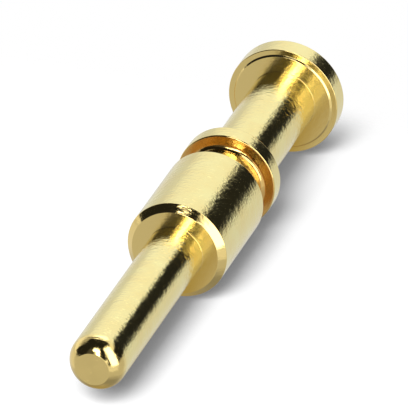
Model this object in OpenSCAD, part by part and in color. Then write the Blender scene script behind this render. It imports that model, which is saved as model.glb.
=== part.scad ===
// Turned crimp contact pin
// One piece of copper alloy, turned from bar, drilled from the rear for the wire and gold plated.
// It stands on its rear end: Z runs along the axis from the wire's mouth to the tip of the pin.

/* [Mating pin] */
// Diameter of the pin
pin_d = 2.5; // [1.6:0.1:3.5]
// Length of the pin from the body's front face to the tip
pin_length = 10.5; // [4:0.1:20]
// Radius of the curve that runs the pin into its tip
nose_radius = 1; // [0.5:0.05:3]
// Diameter of the flat at the tip
nose_flat_d = 1.5; // [0.5:0.1:2.3]

/* [Body] */
// Diameter of the body
body_d = 4.5; // [3.4:0.1:6]
// Length of the body, its chamfer included
body_length = 5.25; // [2:0.05:10]
// Width of the 45 degree chamfer round the body's front face
body_chamfer = 0.3; // [0.1:0.05:0.8]

/* [Retention groove and collar] */
// Width of the groove between the body and the collar
groove_width = 1.5; // [0.8:0.1:3]
// Diameter of the groove's floor
groove_d = 3.25; // [2:0.05:4]
// Diameter of the collar behind the groove
collar_d = 4.5; // [3.4:0.1:6]
// Width of the collar
collar_width = 0.85; // [0.4:0.05:2]

/* [Crimp barrel] */
// Outer diameter of the barrel that is crimped onto the wire
barrel_d = 3; // [2.6:0.1:4.2]
// Length of the barrel between the collar and the flange
barrel_length = 7; // [4:0.1:12]

/* [Rear flange] */
// Diameter of the flange
flange_d = 5.1; // [3.8:0.1:8]
// Thickness of the flange at its raised front face
flange_thickness = 1.05; // [0.75:0.05:3]
// Width of the flat rim round the raised face
flange_rim_width = 0.25; // [0.1:0.05:0.5]
// How far the rim lies below the raised face, with a 45 degree slope between them
flange_rim_drop = 0.07; // [0.03:0.01:0.2]

/* [Wire bore] */
// Diameter of the blind bore that takes the stripped wire
bore_d = 1.75; // [0.8:0.05:2.3]
// Depth of the bore from the rear face to the end of its straight wall
bore_depth = 7.5; // [3:0.1:10]
// Point angle of the drill that made the bore
drill_point_angle = 118; // [90:1:140]
// Width of the 45 degree countersink at the bore's mouth
bore_countersink = 0.3; // [0.05:0.05:0.6]

/* [Edges] */
// Width of the break on every other outer edge
edge_break = 0.05; // [0.02:0.01:0.15]

/* [Hidden] */
$fn = 96;

// Colour of the gold plating
gold = [0.86, 0.73, 0.42];
// How far a cutter starts outside the face that it cuts
cutter_run_in = 0.1;

// Heights of the turned steps, from the rear face up to the tip
flange_top = flange_thickness;
flange_rim = flange_top - flange_rim_drop;
collar_rear = flange_top + barrel_length;
collar_front = collar_rear + collar_width;
body_rear = collar_front + groove_width;
body_front = body_rear + body_length;
tip = body_front + pin_length;

// The nose curve is tangent to the pin and meets the flat at an edge
nose_centre_r = pin_d / 2 - nose_radius;
nose_height = sqrt(pow(nose_radius, 2) - pow(nose_flat_d / 2 - nose_centre_r, 2));
nose_start = tip - nose_height;

// Foot of the slope round the flange's raised face, and the edge of that face
flange_slope_r = flange_d / 2 - flange_rim_width;
flange_face_r = flange_slope_r - flange_rim_drop;

drill_point_height = bore_d / 2 / tan(drill_point_angle / 2);

// Half section of a plain turned length
function shaft(d, low, high) = [[d / 2, low], [d / 2, high]];

// Half section of a turned length whose lower and upper outer edges are cut off at 45 degrees
function ring(d, low, high, low_cut, high_cut) = [
    [d / 2 - low_cut, low],
    [d / 2, low + low_cut],
    [d / 2, high - high_cut],
    [d / 2 - high_cut, high],
];

// Half section of everything below the nose
module stepped_section() {
    polygon(concat(
        [[0, 0]],
        ring(flange_d, 0, flange_rim, edge_break, edge_break),
        [[flange_slope_r, flange_rim], [flange_face_r, flange_top]],
        shaft(barrel_d, flange_top, collar_rear),
        ring(collar_d, collar_rear, collar_front, edge_break, edge_break),
        shaft(groove_d, collar_front, body_rear),
        ring(body_d, body_rear, body_front, edge_break, body_chamfer),
        shaft(pin_d, body_front, nose_start),
        [[0, nose_start]]
    ));
}

// Half section of the rounded nose, cut off flat at the tip
module nose_section() {
    translate([0, nose_start])
        intersection() {
            square([pin_d / 2, nose_height]);
            union() {
                translate([nose_centre_r, 0])
                    circle(r = nose_radius);
                square([nose_flat_d / 2, nose_height]);
            }
        }
}

// Drill and countersink for the wire, entering from the rear
module wire_drill() {
    translate([0, 0, -cutter_run_in])
        cylinder(d = bore_d, h = bore_depth + cutter_run_in);
    translate([0, 0, bore_depth])
        cylinder(d1 = bore_d, d2 = 0, h = drill_point_height);
    translate([0, 0, -cutter_run_in])
        cylinder(
            d1 = bore_d + 2 * (bore_countersink + cutter_run_in),
            d2 = bore_d,
            h = bore_countersink + cutter_run_in
        );
}

module contact_pin() {
    color(gold)
        difference() {
            rotate_extrude() {
                stepped_section();
                nose_section();
            }
            wire_drill();
        }
}

contact_pin();
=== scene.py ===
import math

import bpy
import numpy as np
from mathutils import Matrix, Vector


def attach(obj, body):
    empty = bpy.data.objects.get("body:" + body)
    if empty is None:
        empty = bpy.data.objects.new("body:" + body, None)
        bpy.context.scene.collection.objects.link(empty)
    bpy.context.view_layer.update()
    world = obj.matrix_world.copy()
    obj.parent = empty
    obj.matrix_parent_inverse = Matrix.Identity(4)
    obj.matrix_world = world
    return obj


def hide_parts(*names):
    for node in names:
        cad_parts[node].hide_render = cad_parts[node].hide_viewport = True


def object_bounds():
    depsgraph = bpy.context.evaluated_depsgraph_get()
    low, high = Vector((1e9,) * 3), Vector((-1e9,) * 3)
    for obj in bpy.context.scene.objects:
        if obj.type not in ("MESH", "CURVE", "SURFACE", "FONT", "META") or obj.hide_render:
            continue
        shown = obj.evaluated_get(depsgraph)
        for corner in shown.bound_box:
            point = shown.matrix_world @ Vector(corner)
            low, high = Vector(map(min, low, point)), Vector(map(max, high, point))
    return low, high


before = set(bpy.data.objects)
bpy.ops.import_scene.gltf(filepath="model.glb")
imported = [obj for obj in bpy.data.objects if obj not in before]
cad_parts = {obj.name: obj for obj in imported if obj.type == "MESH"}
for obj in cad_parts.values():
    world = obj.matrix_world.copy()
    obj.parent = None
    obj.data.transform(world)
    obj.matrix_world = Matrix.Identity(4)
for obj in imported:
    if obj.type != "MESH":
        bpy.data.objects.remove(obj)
cad_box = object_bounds()

# Sizes are written in millimetres and the scene is in metres
MM = 0.001

# Turned sizes in millimetres, as in the CAD model
PIN_D = 2.5
PIN_LENGTH = 10.5
NOSE_RADIUS = 1.0
NOSE_FLAT_D = 1.5
BODY_D = 4.5
BODY_LENGTH = 5.25
BODY_CHAMFER = 0.3
GROOVE_WIDTH = 1.5
GROOVE_D = 3.25
COLLAR_D = 4.5
COLLAR_WIDTH = 0.85
BARREL_D = 3.0
BARREL_LENGTH = 7.0
# The round flange stays inside the CAD model's facets, so it is as wide as their narrowest side
FLANGE_D = 2 * min(abs(side) for corner in cad_box for side in corner[:2]) / MM
FLANGE_THICKNESS = 1.05
FLANGE_RIM_WIDTH = 0.25
FLANGE_RIM_DROP = 0.07
BORE_D = 1.75
BORE_DEPTH = 7.5
DRILL_POINT_ANGLE = 118
BORE_COUNTERSINK = 0.3

# Radii that the tool and the plating leave, in millimetres
SOFT_EDGE = 0.07
CRISP_EDGE = 0.04
SLOPE_EDGE = 0.025
NOSE_EDGE = 0.06
TOOL_ROOT = 0.02
GROOVE_ROOT = 0.25

# Heights of the turned steps in millimetres, from the rear face up to the tip
FLANGE_TOP = FLANGE_THICKNESS
FLANGE_RIM = FLANGE_TOP - FLANGE_RIM_DROP
COLLAR_REAR = FLANGE_TOP + BARREL_LENGTH
COLLAR_FRONT = COLLAR_REAR + COLLAR_WIDTH
GROOVE_MIDDLE = COLLAR_FRONT + GROOVE_WIDTH / 2
BODY_REAR = COLLAR_FRONT + GROOVE_WIDTH
BODY_FRONT = BODY_REAR + BODY_LENGTH
TIP = BODY_FRONT + PIN_LENGTH

# How finely the mesh is cut
AROUND = 192
LONGEST_RING = 0.5
ARC_STEPS = 5
NOSE_STEPS = 24

# Tones of the gold: on walls, on faces, and on the walls of the groove, where painted shade darkens the
# recess
WALL_TONE = (0.93, 0.84, 0.40, 1)
FACE_TONE = (0.90, 0.69, 0.265, 1)
GROOVE_PAINTED_SHADE_TONE = (0.73, 0.45, 0.145, 1)
# How far a surface faces along the axis at the full tone of a face, and the cloud that varies it
FACE_TONE_AT = 0.45
CLOUD_SPOTS_PER_METRE = 900
CLOUD_DETAIL = 3
CLOUD_SHARE = 0.5
CLOUD_OFFSET = 0.15

# Turning marks along the outline, how often they change round the axis, and the grain on top of them
MARKS_PER_MM = 14
MARK_CHANGES_PER_METRE = 2500
MARK_DEPTH = 0.009
GRAINS_PER_METRE = 5000
GRAIN_SHARE = 1.5
RELIEF_DETAIL = 2
# The more a surface faces along the axis, the more of the marks' depth it loses
FACE_MARK_LOSS = 0.7
# Heights of the marks between which the roughness goes from its lower to its upper value
ROUGHNESS_HEIGHTS = (0.3, 0.7)
ROUGHNESS = (0.05, 0.1)
# What full faces add to the roughness, and where it sets in
FACE_ROUGHNESS = 0.07
FACE_FROM = 0.95
# The blur runs across the marks, a quarter turn from their direction
ANISOTROPY = 0.95
QUARTER_TURN = 0.25

# The camera of the photograph: the contact is seen from its tip and lies rolled in the picture
PICTURE_PIXELS = 408
FOCAL_PIXELS = 7000
SENSOR_MM = 36
CAMERA_AZIMUTH = -30.94
CAMERA_ELEVATION = 55.97
TIP_DIRECTION = 234.56
CAMERA_DISTANCE = 300.06
AIM_RIGHT = 1.15
AIM_UP = 1.963
CLIP_START = 10

# The floor: half its size, its fades past the rear end and far from the contact, and its white
FLOOR_HALF = 400
FLOOR_REAR_FADE = (0, -5)
FLOOR_FAR_FADE = (30, 60)
FLOOR_WHITE = 0.96

# What lights the floor, where 1 is white: the sky, and lamps that each have their share of the light,
# their lean to the front and to the left in degrees, and their size along and across the contact
SKY_ON_FLOOR = 0.2
LAMP_DISTANCE = 1200
LAMPS = {
    "front_light": (0.60, 52, -4, 640, 400),
    "soft_light": (0.42, 45, -1, 640, 900),
}

# The floor under the contact as the metal shows it, in millimetres across and along the contact
WARM_FLOOR_SIDES = (-1.5, 1.6)
WARM_FLOOR_ENDS = (-13, 14)
WARM_FLOOR_COLUMNS = 25
WARM_FLOOR_ROWS = 61
WARM_FLOOR_LIFT = 0.02
WARM_FLOOR_SOFT = 1.6
WARM_FLOOR_GLOW = 0.42
WARM_FLOOR_TINT = (1, 0.83, 0.38, 1)

# The screens' distances in millimetres, the size of their facets in degrees and the brightness of black
FARTHEST_SCREEN = 400
SCREEN_GAP = 5
SCREEN_STEP = 2
BLACK = 0.018
# Borders past the points straight up and straight down, so that a screen reaches over them
OVERHEAD = 98
UNDERFOOT = -98

# What the metal shows before the white of the studio, from the farthest screen to the nearest.
# Each has its brightness, the share that it takes of what is behind it, the softness of its borders,
# and its lower and upper border at a few azimuths, all in degrees as in direction().
SCREENS = {
    "left_grey": (BLACK, 0.3, 22, [(-40, -60, 42), (-25, -60, 40), (-12, -60, 30), (18, -60, 28)]),
    "back_panel": (2.0, 1, 8, [(-28, 42, 76), (20, 44, 76), (50, 48, 70)]),
    # The floor screens paint the floor's reflection in the metal, and floor_below paints the floor's shade
    # under the contact
    "floor_light": (0.58, 1, 6, [(-180, UNDERFOOT, 3), (180, UNDERFOOT, 3)]),
    "floor_left": (0.78, 1, 12, [(-85, -40, 4), (5, -40, 4)]),
    "floor_right": (0.72, 1, 12, [(0, -44, 2), (80, -44, 2)]),
    "floor_front": (0.88, 1, 10, [(112, -34, 6), (208, -34, 6)]),
    "floor_below": (0.3, 1, 25, [(-180, UNDERFOOT, -40), (180, UNDERFOOT, -40)]),
    "left_shade": (BLACK, 0.6, 25, [
        (-90, 8, OVERHEAD), (-60, 12, OVERHEAD), (-35, 22, OVERHEAD), (-15, 40, OVERHEAD),
    ]),
    "left_black": (BLACK, 1, 11, [
        (-155, -14, 72), (-128, -13, 72), (-105, -2, 72), (-88, -6, 72), (-72, 2, 72), (-64, 10, 72),
    ]),
    "left_brown": (0.1, 0.8, 12, [(-156, -4, 66), (-118, -4, 66)]),
    "right_black": (BLACK, 1, 10, [
        (29, -5, 30), (36, -5, 34), (46, -5, 38), (60, -5, 46), (75, -5, 48), (95, -6, 46), (120, -10, 38),
    ]),
    "right_panel": (3.0, 1, 10, [(111, -14, 66), (158, -14, 66)]),
    "front_glow": (1.5, 1, 6, [(162, -8, 17), (184, -8, 17)]),
    "key_panel": (7.0, 1, 6, [
        (174, 22, 53), (180, 12, 53), (194, 12, 53), (200, 18, 56), (204, 38, 58), (222, 39, 60),
    ]),
    "camera_foot": (BLACK, 1, 3, [(149, -18, 0), (153, -14, 20), (158, -8, 28), (163, 8, 34)]),
    "camera_bar": (BLACK, 1, 5, [
        (160, 14, 40), (164, 10, 64), (169, 8, 66), (176, 10, 68), (184, 13, 68), (191, 28, 68),
    ]),
    "ceiling_black": (BLACK, 1, 10, [
        (-180, 51, OVERHEAD), (-150, 49, OVERHEAD), (-135, 45, OVERHEAD), (-60, 42, OVERHEAD),
        (-45, 45, OVERHEAD), (-30, 53, OVERHEAD), (-15, 61, OVERHEAD), (0, 67, OVERHEAD),
        (30, 69, OVERHEAD), (50, 63, OVERHEAD), (62, 59, OVERHEAD), (90, 55, OVERHEAD),
        (110, 53, OVERHEAD), (125, 57, OVERHEAD), (150, 58, OVERHEAD), (165, 55, OVERHEAD),
        (180, 51, OVERHEAD),
    ]),
}


def unit(vector):
    """The vector's direction, with a length of 1."""
    return vector / np.linalg.norm(vector)


# Outline of the turned piece

def nose_arc():
    """Points of the nose from the pin's wall up to the flat at the tip."""
    centre_r = PIN_D / 2 - NOSE_RADIUS
    end = math.acos((NOSE_FLAT_D / 2 - centre_r) / NOSE_RADIUS)
    start_z = TIP - NOSE_RADIUS * math.sin(end)
    arc = []
    for step in range(NOSE_STEPS):
        angle = end * step / NOSE_STEPS
        arc.append((centre_r + NOSE_RADIUS * math.cos(angle), start_z + NOSE_RADIUS * math.sin(angle), 0))
    return arc + [(NOSE_FLAT_D / 2, TIP, NOSE_EDGE)]


def turned_corners():
    """Corners (radius, height, rounding) from the bottom of the bore, round its mouth and up to the tip."""
    bore_r = BORE_D / 2
    drill_point = bore_r / math.tan(math.radians(DRILL_POINT_ANGLE / 2))
    slope_r = FLANGE_D / 2 - FLANGE_RIM_WIDTH
    return [
        (0, BORE_DEPTH + drill_point, 0),
        (bore_r, BORE_DEPTH, TOOL_ROOT),
        (bore_r, BORE_COUNTERSINK, CRISP_EDGE),
        (bore_r + BORE_COUNTERSINK, 0, CRISP_EDGE),
        (FLANGE_D / 2, 0, SOFT_EDGE),
        (FLANGE_D / 2, FLANGE_RIM, CRISP_EDGE),
        (slope_r, FLANGE_RIM, SLOPE_EDGE),
        (slope_r - FLANGE_RIM_DROP, FLANGE_TOP, SLOPE_EDGE),
        (BARREL_D / 2, FLANGE_TOP, TOOL_ROOT),
        (BARREL_D / 2, COLLAR_REAR, TOOL_ROOT),
        (COLLAR_D / 2, COLLAR_REAR, SOFT_EDGE),
        (COLLAR_D / 2, COLLAR_FRONT, SOFT_EDGE),
        (GROOVE_D / 2, COLLAR_FRONT, GROOVE_ROOT),
        (GROOVE_D / 2, BODY_REAR, GROOVE_ROOT),
        (BODY_D / 2, BODY_REAR, SOFT_EDGE),
        (BODY_D / 2, BODY_FRONT - BODY_CHAMFER, CRISP_EDGE),
        (BODY_D / 2 - BODY_CHAMFER, BODY_FRONT, CRISP_EDGE),
        (PIN_D / 2, BODY_FRONT, TOOL_ROOT),
        *nose_arc(),
        (0, TIP, 0),
    ]


def straight_run(start, end, heading):
    """Points strictly between two ends of a straight stretch, close enough for an even mesh."""
    length = np.linalg.norm(end - start)
    pieces = max(1, math.ceil(length / LONGEST_RING))
    return [(start + (end - start) * piece / pieces, heading) for piece in range(1, pieces)]


def corner_run(corner, rounding, heading_in, heading_out):
    """Points of the arc that rounds a corner, each with the heading of the outline there."""
    turn = (heading_out - heading_in + math.pi) % (2 * math.pi) - math.pi
    if rounding == 0:
        return [(corner, heading_in + turn / 2)]
    side = math.copysign(1, turn)
    reach = rounding * math.tan(abs(turn) / 2)
    start = corner - reach * np.array([math.cos(heading_in), math.sin(heading_in)])

    def left_of(heading):
        return np.array([-math.sin(heading), math.cos(heading)])

    centre = start + side * rounding * left_of(heading_in)
    headings = [heading_in + turn * step / ARC_STEPS for step in range(ARC_STEPS + 1)]
    return [(centre - side * rounding * left_of(heading), heading) for heading in headings]


def turned_outline():
    """Points (radius, height) in millimetres and the outward normal at each, smooth everywhere."""
    corners = turned_corners()
    places = [np.array(corner[:2], float) for corner in corners]
    headings = [math.atan2(upward, outward) for outward, upward in np.diff(places, axis=0)]
    run = [(places[0], headings[0])]
    for number in range(1, len(corners) - 1):
        rounding = corners[number][2]
        arc = corner_run(places[number], rounding, headings[number - 1], headings[number])
        run += straight_run(run[-1][0], arc[0][0], headings[number - 1])
        run += arc
    run += straight_run(run[-1][0], places[-1], headings[-1])
    run.append((places[-1], headings[-1]))
    points = np.array([place for place, _ in run])
    normals = np.array([(math.sin(heading), -math.cos(heading)) for _, heading in run])
    return points, normals


def turned_mesh(name):
    """The outline turned round Z, with exact normals and three values at each point for the material:
    its way along the outline, how far it faces along the axis, and the same on the groove's walls only, for
    their painted shade."""
    points, normals = turned_outline()
    along = np.concatenate([[0], np.cumsum(np.linalg.norm(np.diff(points, axis=0), axis=1))])
    rings = range(1, len(points) - 1)
    angles = [2 * math.pi * spoke / AROUND for spoke in range(AROUND)]
    vertices = [(0, 0, points[0][1] * MM)]
    vertex_normals = [(0, 0, -1)]
    vertex_along = [along[0]]
    vertex_faced = [1]
    vertex_groove_painted_shade = [0]
    for ring in rings:
        across, height = points[ring] * MM
        outward, upward = normals[ring]
        faced = abs(upward)
        # Rings inside the groove, whose walls get a painted shade
        grooved = abs(points[ring][1] - GROOVE_MIDDLE) < GROOVE_WIDTH / 2 + TOOL_ROOT
        for angle in angles:
            vertices.append((across * math.cos(angle), across * math.sin(angle), height))
            vertex_normals.append((outward * math.cos(angle), outward * math.sin(angle), upward))
            vertex_along.append(along[ring])
            vertex_faced.append(faced)
            vertex_groove_painted_shade.append(faced if grooved else 0)
    vertices.append((0, 0, points[-1][1] * MM))
    vertex_normals.append((0, 0, 1))
    vertex_along.append(along[-1])
    vertex_faced.append(1)
    vertex_groove_painted_shade.append(0)

    top = 1 + (len(rings) - 1) * AROUND
    last = len(vertices) - 1
    faces = []
    for spoke in range(AROUND):
        following = (spoke + 1) % AROUND
        faces.append((0, 1 + following, 1 + spoke))
        for low in range(1, top, AROUND):
            high = low + AROUND
            faces.append((low + spoke, low + following, high + following, high + spoke))
        faces.append((top + spoke, top + following, last))

    mesh = bpy.data.meshes.new(name)
    mesh.from_pydata(vertices, [], faces)
    mesh.update()
    mesh.shade_smooth()
    mesh.normals_split_custom_set_from_vertices(vertex_normals)
    attributes = {"along_mm": vertex_along, "faced": vertex_faced, "groove_painted_shade": vertex_groove_painted_shade}
    for attribute_name, values in attributes.items():
        attribute = mesh.attributes.new(attribute_name, "FLOAT", "POINT")
        attribute.data.foreach_set("value", values)
    return mesh


# Material

class Nodes:
    """Short forms for building a node tree."""

    def __init__(self, tree):
        self.tree = tree
        tree.nodes.clear()

    def add(self, kind, settings=None, **inputs):
        """A node of this kind, with its inputs set or linked by name."""
        node = self.tree.nodes.new(kind)
        for key, value in (settings or {}).items():
            setattr(node, key, value)
        for key, value in inputs.items():
            self.put(node.inputs[key.replace("_", " ")], value)
        return node

    def put(self, socket, value):
        """Links a socket to another one, or sets it to a constant."""
        if isinstance(value, bpy.types.NodeSocket):
            self.tree.links.new(value, socket)
        else:
            socket.default_value = value

    def attribute(self, name):
        """The value that the mesh has at each point under this name."""
        return self.add("ShaderNodeAttribute", {"attribute_name": name}).outputs["Fac"]

    def math(self, operation, *values):
        """The result of a sum on numbers."""
        node = self.add("ShaderNodeMath", {"operation": operation})
        for socket, value in zip(node.inputs, values):
            self.put(socket, value)
        return node.outputs[0]

    def vector_math(self, operation, first, second):
        """The outputs of a sum on two vectors."""
        node = self.add("ShaderNodeVectorMath", {"operation": operation})
        self.put(node.inputs[0], first)
        self.put(node.inputs[1], second)
        return node.outputs

    def mix(self, share, first, second):
        """A shader between two others."""
        node = self.add("ShaderNodeMixShader", Fac=share)
        self.put(node.inputs[1], first.outputs[0])
        self.put(node.inputs[2], second.outputs[0])
        return node

    def blend(self, share, first, second):
        """A colour between two others."""
        node = self.add("ShaderNodeMix", {"data_type": "RGBA"})
        sockets = {socket.identifier: socket for socket in node.inputs}
        self.put(sockets["Factor_Float"], share)
        self.put(sockets["A_Color"], first)
        self.put(sockets["B_Color"], second)
        return next(socket for socket in node.outputs if socket.identifier == "Result_Color")

    def fade(self, value, ends):
        """Rises from 0 to 1 as the value goes from the first end to the second, in millimetres."""
        smooth = {"interpolation_type": "SMOOTHSTEP"}
        start, end = ends
        node = self.add("ShaderNodeMapRange", smooth, Value=value, From_Min=start * MM, From_Max=end * MM)
        return node.outputs["Result"]

    def finish(self, shader, kind="ShaderNodeOutputMaterial"):
        """Leads the shader to the tree's output."""
        output = self.add(kind)
        self.put(output.inputs["Surface"], shader.outputs[0])


def new_material(name):
    """An empty material and its node tree."""
    material = bpy.data.materials.new(name)
    material.use_nodes = True
    return material, Nodes(material.node_tree)


def gold_tone(nodes, place, faced):
    """Pale gold on walls, deeper gold on faces, clouded a little, and the deepest on the groove's walls, as
    painted shade of the recess.
    """
    cloud = nodes.add("ShaderNodeTexNoise", Vector=place, Scale=CLOUD_SPOTS_PER_METRE, Detail=CLOUD_DETAIL)
    depth = nodes.math("MULTIPLY_ADD", cloud.outputs["Fac"], CLOUD_SHARE, faced)
    tone = nodes.add("ShaderNodeValToRGB", Fac=nodes.math("SUBTRACT", depth, CLOUD_OFFSET))
    wall, face = tone.color_ramp.elements
    wall.position = 0
    wall.color = WALL_TONE
    face.position = FACE_TONE_AT
    face.color = FACE_TONE
    # Painted shade: the groove's walls are darkened to a deep brown
    return nodes.blend(nodes.attribute("groove_painted_shade"), tone.outputs["Color"], GROOVE_PAINTED_SHADE_TONE)


def gold_plating():
    """Bright gold over fine turning marks that run round the axis."""
    material, nodes = new_material("gold_plating")
    place = nodes.add("ShaderNodeTexCoord").outputs["Object"]
    faced = nodes.attribute("faced")

    changes = (MARK_CHANGES_PER_METRE, MARK_CHANGES_PER_METRE, 0)
    across = nodes.vector_math("MULTIPLY", place, changes)["Vector"]
    lengthwise = nodes.math("MULTIPLY", nodes.attribute("along_mm"), MARKS_PER_MM)
    turned = nodes.add("ShaderNodeCombineXYZ", Z=lengthwise).outputs["Vector"]
    mark_place = nodes.vector_math("ADD", across, turned)["Vector"]
    noise = nodes.add("ShaderNodeTexNoise", Vector=mark_place, Scale=1, Detail=RELIEF_DETAIL)
    marks = noise.outputs["Fac"]
    grain = nodes.add("ShaderNodeTexNoise", Vector=place, Scale=GRAINS_PER_METRE, Detail=RELIEF_DETAIL)
    relief = nodes.math("MULTIPLY_ADD", grain.outputs["Fac"], GRAIN_SHARE, marks)
    strength = nodes.math("MULTIPLY_ADD", faced, -FACE_MARK_LOSS, 1)
    bump = nodes.add("ShaderNodeBump", Height=relief, Strength=strength, Distance=MARK_DEPTH * MM)

    on_face = nodes.add("ShaderNodeMapRange", Value=faced, From_Min=FACE_FROM, From_Max=1)
    mark_roughness = nodes.add(
        "ShaderNodeMapRange",
        Value=marks,
        From_Min=ROUGHNESS_HEIGHTS[0],
        From_Max=ROUGHNESS_HEIGHTS[1],
        To_Min=ROUGHNESS[0],
        To_Max=ROUGHNESS[1],
    )
    roughness = nodes.math(
        "MULTIPLY_ADD", on_face.outputs["Result"], FACE_ROUGHNESS, mark_roughness.outputs["Result"]
    )
    tangent = nodes.add("ShaderNodeTangent", {"direction_type": "RADIAL", "axis": "Z"})
    shader = nodes.add(
        "ShaderNodeBsdfPrincipled",
        Base_Color=gold_tone(nodes, place, faced),
        Metallic=1,
        Roughness=roughness,
        Anisotropic=ANISOTROPY,
        Anisotropic_Rotation=QUARTER_TURN,
        Normal=bump.outputs["Normal"],
        Tangent=tangent.outputs["Tangent"],
    )
    nodes.finish(shader)
    return material


# Camera and studio

def camera_axes():
    """Right, up and back of the camera in the part's frame."""
    azimuth = math.radians(CAMERA_AZIMUTH)
    elevation = math.radians(CAMERA_ELEVATION)
    tip = math.radians(TIP_DIRECTION)
    level = math.cos(elevation)
    back = np.array([math.sin(azimuth) * level, -math.cos(azimuth) * level, math.sin(elevation)])
    towards_tip = unit(np.array([0, 0, 1]) - back[2] * back)
    beside = np.cross(back, towards_tip)
    right = math.cos(tip) * towards_tip - math.sin(tip) * beside
    up = math.sin(tip) * towards_tip + math.cos(tip) * beside
    return right, up, back


camera_right, camera_up, camera_back = camera_axes()

# In the photograph the contact lies on its flange and on the front of its body
floor_lean = (FLANGE_D - BODY_D) / 2 / (BODY_FRONT - BODY_CHAMFER - FLANGE_RIM)
floor_up = unit(np.array([0, -1, -floor_lean]))
floor_away = unit(np.cross(floor_up, camera_right))
floor_right = np.cross(floor_away, floor_up)
studio_centre = np.array([0, FLANGE_D / 2, (BODY_REAR + BODY_FRONT) / 2])

# On the floor, along the contact to its tip, and across it to the left of the picture
along_contact = unit(np.array([0, 0, 1]) - floor_up[2] * floor_up)
across_contact = np.cross(along_contact, floor_up)


def in_studio(to_right, away, height):
    """A point in millimetres right of, behind and above the place on the floor under the body."""
    return Vector((studio_centre + to_right * floor_right + away * floor_away + height * floor_up) * MM)


def direction(azimuth, elevation, distance):
    """A point of the studio. Azimuth 0 is straight behind the contact, and more is to the right."""
    turn = math.radians(azimuth)
    rise = math.radians(elevation)
    level = distance * math.cos(rise)
    return in_studio(level * math.sin(turn), level * math.cos(turn), distance * math.sin(rise))


def add_object(name, data):
    """A new object in the scene."""
    obj = bpy.data.objects.new(name, data)
    bpy.context.scene.collection.objects.link(obj)
    return obj


def aim(obj, place, target, top):
    """Puts obj at place with its -Z towards target and its Y towards top."""
    ahead = (Vector(target) - Vector(place)).normalized()
    side = ahead.cross(Vector(top)).normalized()
    turn = Matrix((side, side.cross(ahead), -ahead)).transposed()
    obj.matrix_world = Matrix.Translation(place) @ turn.to_4x4()


def add_camera():
    """The camera, aimed beside the body's front edge so that the contact lies as in the photograph."""
    data = bpy.data.cameras.new("camera")
    data.sensor_width = SENSOR_MM
    data.lens = FOCAL_PIXELS / PICTURE_PIXELS * SENSOR_MM
    data.clip_start = CLIP_START * MM
    camera = add_object("camera", data)
    target = np.array([0, 0, BODY_FRONT - BODY_CHAMFER]) + AIM_RIGHT * camera_right + AIM_UP * camera_up
    place = target + CAMERA_DISTANCE * camera_back
    turn = Matrix((camera_right, camera_up, camera_back)).transposed()
    camera.matrix_world = Matrix.Translation(place * MM) @ turn.to_4x4()
    bpy.context.scene.camera = camera


def add_world():
    """A sky that is white to the camera and to the metal, and dim to the floor."""
    world = bpy.data.worlds.new("studio")
    world.use_nodes = True
    bpy.context.scene.world = world
    nodes = Nodes(world.node_tree)
    rays = nodes.add("ShaderNodeLightPath").outputs
    seen = nodes.math("MAXIMUM", rays["Is Camera Ray"], rays["Is Glossy Ray"])
    seen = nodes.math("MAXIMUM", seen, rays["Is Transmission Ray"])
    strength = nodes.math("MULTIPLY_ADD", seen, 1 - SKY_ON_FLOOR, SKY_ON_FLOOR)
    sky = nodes.add("ShaderNodeBackground", Color=(1, 1, 1, 1), Strength=strength)
    nodes.finish(sky, "ShaderNodeOutputWorld")


def add_lamp(name, share, to_front, to_left, along, across):
    """A soft light that gives the floor a share of its light and that the metal doesn't show."""
    frontwards = math.tan(math.radians(to_front)) * along_contact
    leftwards = math.tan(math.radians(to_left)) * across_contact
    towards_lamp = unit(floor_up + frontwards + leftwards)
    data = bpy.data.lights.new(name, "AREA")
    data.shape = "RECTANGLE"
    data.size = across * MM
    data.size_y = along * MM
    # Watts that make a white floor at this distance and slant as bright as the share
    data.energy = share * (math.pi * LAMP_DISTANCE * MM) ** 2 / (towards_lamp @ floor_up)
    lamp = add_object(name, data)
    place = Vector((studio_centre + LAMP_DISTANCE * towards_lamp) * MM)
    aim(lamp, place, Vector(studio_centre * MM), along_contact)
    lamp.visible_camera = False
    lamp.visible_glossy = False


def add_card(name, material, corners, faces):
    """A piece of the studio, which is no part of the contact."""
    mesh = bpy.data.meshes.new(name)
    mesh.from_pydata(corners, [], faces)
    mesh.materials.append(material)
    card = add_object(name, mesh)
    return card


def floor_white():
    """A matt white floor that is clear from below and that fades out behind the contact and far from it."""
    material, nodes = new_material("floor_white")
    matt = nodes.add("ShaderNodeBsdfDiffuse", Color=(FLOOR_WHITE, FLOOR_WHITE, FLOOR_WHITE, 1))
    clear = nodes.add("ShaderNodeBsdfTransparent")
    below = nodes.add("ShaderNodeNewGeometry").outputs["Backfacing"]
    place = nodes.add("ShaderNodeTexCoord").outputs["Object"]
    height = nodes.add("ShaderNodeSeparateXYZ", Vector=place).outputs["Z"]
    centre_distance = nodes.vector_math("DISTANCE", place, in_studio(0, 0, 0))["Value"]
    behind = nodes.fade(height, FLOOR_REAR_FADE)
    far = nodes.fade(centre_distance, FLOOR_FAR_FADE)
    clearness = nodes.math("MAXIMUM", below, nodes.math("MAXIMUM", behind, far))
    nodes.finish(nodes.mix(clearness, matt, clear))
    return material


def add_floor():
    """The floor that takes the contact's shadow. The metal shows the screens in its place."""
    corners = [
        in_studio(-FLOOR_HALF, -FLOOR_HALF, 0),
        in_studio(FLOOR_HALF, -FLOOR_HALF, 0),
        in_studio(FLOOR_HALF, FLOOR_HALF, 0),
        in_studio(-FLOOR_HALF, FLOOR_HALF, 0),
    ]
    floor = add_card("floor", floor_white(), corners, [(0, 1, 2, 3)])
    floor.visible_glossy = False


def soft_step(inside, soft):
    """Cover at a distance inside a border that fades over the given softness."""
    depth = min(1, max(0, inside / soft))
    return depth * depth * (3 - 2 * depth)


def grid_faces(columns, rows):
    """Faces of a grid whose corners are listed column by column."""
    faces = []
    for column in range(columns - 1):
        for row in range(rows - 1):
            first = column * rows + row
            faces.append((first, first + 1, first + rows + 1, first + rows))
    return faces


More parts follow.
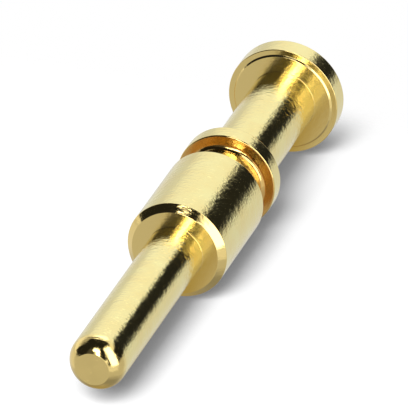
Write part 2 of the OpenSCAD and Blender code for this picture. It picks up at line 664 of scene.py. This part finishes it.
def screen_glow(name, brightness, tint):
    """Light of one brightness that is clear where the screen doesn't cover."""
    material, nodes = new_material(name)
    material.cycles.emission_sampling = "NONE"
    glow = nodes.add("ShaderNodeEmission", Color=tint, Strength=brightness)
    clear = nodes.add("ShaderNodeBsdfTransparent")
    nodes.finish(nodes.mix(nodes.attribute("cover"), clear, glow))
    return material


def add_glowing_card(name, brightness, tint, corners, faces, cover):
    """A card for the mirror rays only, with its cover at each corner."""
    card = add_card(name, screen_glow(name, brightness, tint), corners, faces)
    attribute = card.data.attributes.new("cover", "FLOAT", "POINT")
    attribute.data.foreach_set("value", cover)
    card.visible_camera = False
    card.visible_diffuse = False
    card.visible_shadow = False


def add_warm_floor():
    """The floor under the contact, shaded by it and lit by its gold, as the metal shows it."""
    left, right = WARM_FLOOR_SIDES
    rear, front = WARM_FLOOR_ENDS
    corners = []
    cover = []
    for across in np.linspace(left, right, WARM_FLOOR_COLUMNS):
        for along in np.linspace(rear, front, WARM_FLOOR_ROWS):
            place = studio_centre + across * across_contact + along * along_contact
            corners.append(Vector((place + WARM_FLOOR_LIFT * floor_up) * MM))
            sides = soft_step(min(across - left, right - across), WARM_FLOOR_SOFT)
            ends = soft_step(min(along - rear, front - along), WARM_FLOOR_SOFT)
            cover.append(sides * ends)
    faces = grid_faces(WARM_FLOOR_COLUMNS, WARM_FLOOR_ROWS)
    add_glowing_card("warm_floor", WARM_FLOOR_GLOW, WARM_FLOOR_TINT, corners, faces, cover)


def add_screen(name, distance, brightness, share, soft, borders):
    """A curved screen that only the metal shows, with soft borders unless it goes all the way round."""
    stations, lows, highs = zip(*borders)
    columns = math.ceil((stations[-1] - stations[0]) / SCREEN_STEP) + 1
    rows = math.ceil((max(highs) - min(lows)) / SCREEN_STEP) + 1
    closed = stations[-1] - stations[0] == 360
    corners = []
    cover = []
    for azimuth in np.linspace(stations[0], stations[-1], columns):
        low = np.interp(azimuth, stations, lows)
        high = np.interp(azimuth, stations, highs)
        for elevation in np.linspace(low, high, rows):
            inside = min(elevation - low, high - elevation)
            if not closed:
                inside = min(inside, azimuth - stations[0], stations[-1] - azimuth)
            corners.append(direction(azimuth, elevation, distance))
            cover.append(share * soft_step(inside, soft))
    add_glowing_card(name, brightness, (1, 1, 1, 1), corners, grid_faces(columns, rows), cover)


contact = add_object("turned_contact", turned_mesh("turned_contact"))
contact.data.materials.append(gold_plating())
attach(contact, "root")
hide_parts("contact_pin")
# The floor takes the contact's shadow without a glow of gold
contact.visible_diffuse = False

add_camera()
add_world()
add_floor()
for lamp_name, look in LAMPS.items():
    add_lamp(lamp_name, *look)
add_warm_floor()
for order, (screen_name, look) in enumerate(SCREENS.items()):
    add_screen(screen_name, FARTHEST_SCREEN - SCREEN_GAP * order, *look)

bpy.context.scene.view_settings.view_transform = "Standard"
